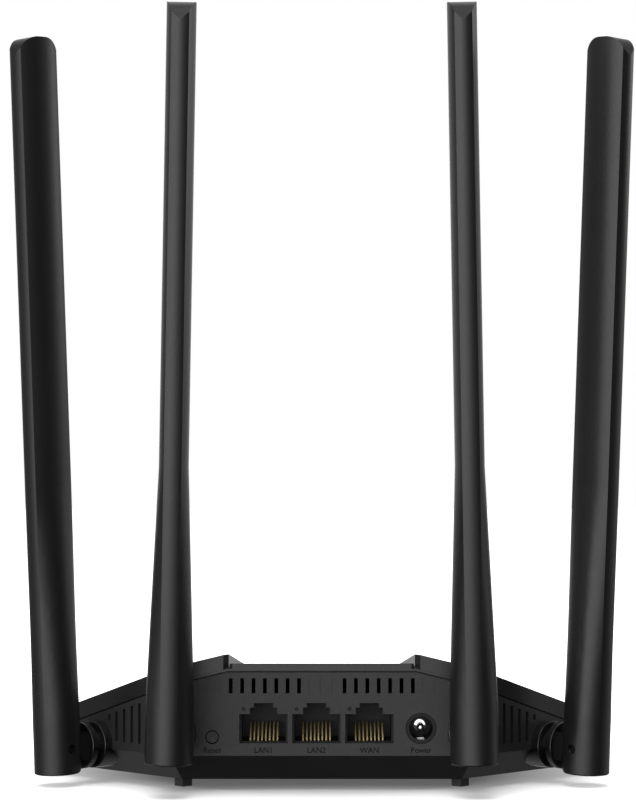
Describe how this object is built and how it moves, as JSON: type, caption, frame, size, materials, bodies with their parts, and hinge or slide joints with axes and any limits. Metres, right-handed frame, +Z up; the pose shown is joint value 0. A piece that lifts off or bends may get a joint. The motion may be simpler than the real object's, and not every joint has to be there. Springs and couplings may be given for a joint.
{
  "type": "wireless router",
  "caption": "Desktop wireless router: faceted flat case with network sockets, power socket and reset button at the back, and folding antennas.",
  "frame": {"origin": "on the surface that the feet stand on, under the middle of the whole object's box with the antennas upright", "axes": "+Z up, -Y the way the socket side faces, +Y towards the front edge, +X to the right when looking at the sockets"},
  "size_m": [0.1658, 0.1291, 0.205],
  "materials": {
    "case_plastic": "satin",
    "antenna_plastic": "satin",
    "hinge_plastic": "satin",
    "socket_plastic": "satin",
    "gold_plate": "polished",
    "bright_metal": "polished",
    "steel": "satin",
    "foot_rubber": "matte",
    "board_green": "satin",
    "chip_black": "matte",
    "component_metal": "satin",
    "lead_jacket": "satin",
    "clear_guide": "polished"
  },
  "bodies": {
    "housing": {"antenna_lead_inner_left": "lead_jacket", "antenna_lead_inner_right": "lead_jacket", "antenna_lead_outer_left": "lead_jacket", "antenna_lead_outer_right": "lead_jacket", "bottom_shell": "case_plastic", "dc_jack_housing": "socket_plastic", "dc_jack_pin": "bright_metal", "dc_jack_spring": "bright_metal", "ethernet_jack_block": "socket_plastic", "hinge_bushing_inner_left": "hinge_plastic", "hinge_bushing_inner_right": "hinge_plastic", "hinge_bushing_outer_left": "hinge_plastic", "hinge_bushing_outer_right": "hinge_plastic", "housing_screws": "steel", "lan1_contacts": "gold_plate", "lan2_contacts": "gold_plate", "lead_solder_blocks": "component_metal", "line_transformers": "chip_black", "main_board": "board_green", "memory_chips": "chip_black", "port_light_windows": "clear_guide", "power_capacitors": "component_metal", "power_inductors": "chip_black", "processor_chip": "chip_black", "processor_heat_sink": "component_metal", "radio_shields": "component_metal", "reset_switch": "socket_plastic", "rubber_feet": "foot_rubber", "status_light": "clear_guide", "status_light_guide": "clear_guide", "top_cover": "case_plastic", "wan_contacts": "gold_plate"},
    "reset_button": {"reset_button": "hinge_plastic", "reset_plunger": "hinge_plastic"},
    "hinge_inner_left": {"hinge_barrel_inner_left": "hinge_plastic", "barrel_clip_inner_left": "steel"},
    "antenna_inner_left": {"antenna_cover_inner_left": "antenna_plastic", "antenna_core_inner_left": "gold_plate", "hinge_pin_inner_left": "steel"},
    "hinge_inner_right": {"hinge_barrel_inner_right": "hinge_plastic", "barrel_clip_inner_right": "steel"},
    "antenna_inner_right": {"antenna_cover_inner_right": "antenna_plastic", "antenna_core_inner_right": "gold_plate", "hinge_pin_inner_right": "steel"},
    "hinge_outer_left": {"hinge_barrel_outer_left": "hinge_plastic", "barrel_clip_outer_left": "steel"},
    "antenna_outer_left": {"antenna_cover_outer_left": "antenna_plastic", "antenna_core_outer_left": "gold_plate", "hinge_pin_outer_left": "steel"},
    "hinge_outer_right": {"hinge_barrel_outer_right": "hinge_plastic", "barrel_clip_outer_right": "steel"},
    "antenna_outer_right": {"antenna_cover_outer_right": "antenna_plastic", "antenna_core_outer_right": "gold_plate", "hinge_pin_outer_right": "steel"}
  },
  "joints": [
    {"name": "swivel_inner_left", "type": "hinge", "parent": "housing", "child": "hinge_inner_left", "pos_m": [-0.0394, -0.0538, 0.0154], "axis": [0, -1, 0], "range_deg": [-15, 90]},
    {"name": "tilt_inner_left", "type": "hinge", "parent": "hinge_inner_left", "child": "antenna_inner_left", "pos_m": [-0.0394, -0.0538, 0.0154], "axis": [0.9998, 0, -0.0175], "range_deg": [-1.4, 88.6]},
    {"name": "swivel_inner_right", "type": "hinge", "parent": "housing", "child": "hinge_inner_right", "pos_m": [0.0394, -0.0538, 0.0154], "axis": [0, -1, 0], "range_deg": [-90, 15]},
    {"name": "tilt_inner_right", "type": "hinge", "parent": "hinge_inner_right", "child": "antenna_inner_right", "pos_m": [0.0394, -0.0538, 0.0154], "axis": [0.9998, 0, 0.0175], "range_deg": [-1.4, 88.6]},
    {"name": "swivel_outer_left", "type": "hinge", "parent": "housing", "child": "hinge_outer_left", "pos_m": [-0.0708, -0.0288, 0.0101], "axis": [-0.7071, -0.7071, 0], "range_deg": [-6, 90]},
    {"name": "tilt_outer_left", "type": "hinge", "parent": "hinge_outer_left", "child": "antenna_outer_left", "pos_m": [-0.0708, -0.0288, 0.0101], "axis": [0.7071, -0.7071, 0], "range_deg": [-2.7, 87.3]},
    {"name": "swivel_outer_right", "type": "hinge", "parent": "housing", "child": "hinge_outer_right", "pos_m": [0.0708, -0.0288, 0.0101], "axis": [0.7071, -0.7071, 0], "range_deg": [-90, 6]},
    {"name": "tilt_outer_right", "type": "hinge", "parent": "hinge_outer_right", "child": "antenna_outer_right", "pos_m": [0.0708, -0.0288, 0.0101], "axis": [0.7071, 0.7071, 0], "range_deg": [-2.7, 87.3]},
    {"name": "reset_press", "type": "slide", "parent": "housing", "child": "reset_button", "axis": [0, 1, 0], "range_m": [0, 0.0005], "stiffness_N_per_m": 800}
  ]
}
